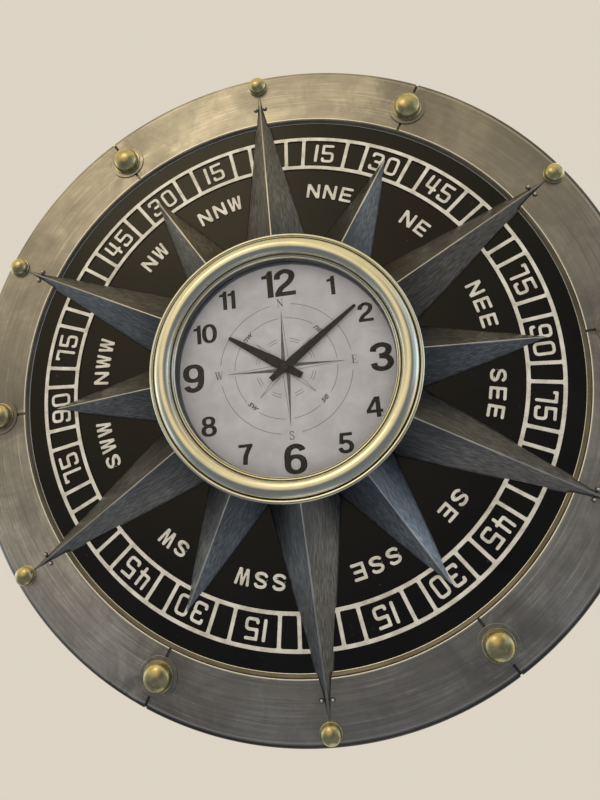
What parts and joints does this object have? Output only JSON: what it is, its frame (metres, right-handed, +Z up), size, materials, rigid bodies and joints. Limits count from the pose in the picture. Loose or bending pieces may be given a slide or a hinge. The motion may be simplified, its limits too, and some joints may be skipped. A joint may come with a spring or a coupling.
{
  "type": "wall clock",
  "caption": "Large round metal wall clock made like a compass: brushed rim with domed studs, raised degree scale, star of folded rays and a framed quartz clock in the middle.",
  "frame": {"origin": "on the clock's centre line, on the rear face of the hanger, where it lies flat on the wall", "axes": "+Y points into the wall and the clock faces -Y; +Z is up, towards 12 on the dial; +X is to the right seen from the front"},
  "size_m": [0.7998, 0.08, 0.8],
  "materials": {
    "rim_metal": "brushed pewter, satin",
    "stud_brass": "aged brass, polished",
    "ray_steel": "dark steel brushed along the ray",
    "ledge_bronze": "dark bronze, satin",
    "plate_black": "matt black paint",
    "scale_cream": "worn cream and silver paint",
    "plated_steel": "zinc plated",
    "bezel_silver": "spun, champagne satin",
    "clear_glass": "clear",
    "dial_paper": "mottled pale grey print",
    "black_plastic": "fine moulded texture",
    "rubber": "matt",
    "battery_jacket": "printed sleeve, plain",
    "copper_wire": "enamelled winding wire",
    "board_green": "solder mask",
    "nylon": "moulded",
    "hand_black": "gloss black"
  },
  "bodies": {
    "clock": {"rim_segment_1": "rim_metal", "rim_segment_2": "rim_metal", "rim_segment_3": "rim_metal", "rim_segment_4": "rim_metal", "rim_segment_5": "rim_metal", "rim_segment_6": "rim_metal", "large_stud_1": "stud_brass", "large_stud_2": "stud_brass", "large_stud_3": "stud_brass", "large_stud_4": "stud_brass", "large_stud_5": "stud_brass", "large_stud_6": "stud_brass", "small_stud_1": "stud_brass", "small_stud_2": "stud_brass", "small_stud_3": "stud_brass", "small_stud_4": "stud_brass", "small_stud_5": "stud_brass", "small_stud_6": "stud_brass", "long_ray_1": "ray_steel", "long_ray_2": "ray_steel", "long_ray_3": "ray_steel", "long_ray_4": "ray_steel", "long_ray_5": "ray_steel", "long_ray_6": "ray_steel", "short_ray_1": "ray_steel", "short_ray_2": "ray_steel", "short_ray_3": "ray_steel", "short_ray_4": "ray_steel", "short_ray_5": "ray_steel", "short_ray_6": "ray_steel", "ledge_ring": "ledge_bronze", "dial_plate": "plate_black", "scale_ring": "scale_cream", "clock_drum": "plated_steel", "bezel": "bezel_silver", "glass": "clear_glass", "sight_ring": "bezel_silver", "dial_face": "dial_paper", "movement_case": "black_plastic", "movement_cover": "black_plastic", "movement_gasket": "rubber", "hex_nut": "stud_brass", "battery": "battery_jacket", "battery_contact_minus": "plated_steel", "battery_contact_plus": "plated_steel", "drive_coil": "copper_wire", "circuit_board": "board_green", "hanger": "plated_steel", "wall_bumper_left": "rubber", "wall_bumper_right": "rubber"},
    "minute_work": {"minute_shaft": "stud_brass", "minute_hand": "hand_black", "hand_cap": "hand_black"},
    "hour_work": {"hour_wheel": "nylon", "hour_hand": "hand_black"},
    "motion_work": {"motion_wheel": "nylon"},
    "knob": {"setting_knob": "nylon"}
  },
  "joints": [
    {"name": "minute_turn", "type": "hinge", "parent": "clock", "child": "minute_work", "pos_m": [0, -0.04, -0.24], "axis": [0, 1, 0], "continuous": true},
    {"name": "hour_turn", "type": "hinge", "parent": "clock", "child": "hour_work", "pos_m": [0, -0.04, -0.24], "axis": [0, 1, 0], "continuous": true},
    {"name": "motion_turn", "type": "hinge", "parent": "clock", "child": "motion_work", "pos_m": [-0.01039, -0.04, -0.234], "axis": [0, 1, 0], "continuous": true},
    {"name": "knob_turn", "type": "hinge", "parent": "clock", "child": "knob", "pos_m": [0, -0.03, -0.228], "axis": [0, 1, 0], "continuous": true}
  ],
  "couplings": [
    {"joint": "hour_turn", "follows": "minute_turn", "ratio": 0.083333},
    {"joint": "motion_turn", "follows": "minute_turn", "ratio": -0.33333},
    {"joint": "knob_turn", "follows": "minute_turn", "ratio": 1}
  ]
}
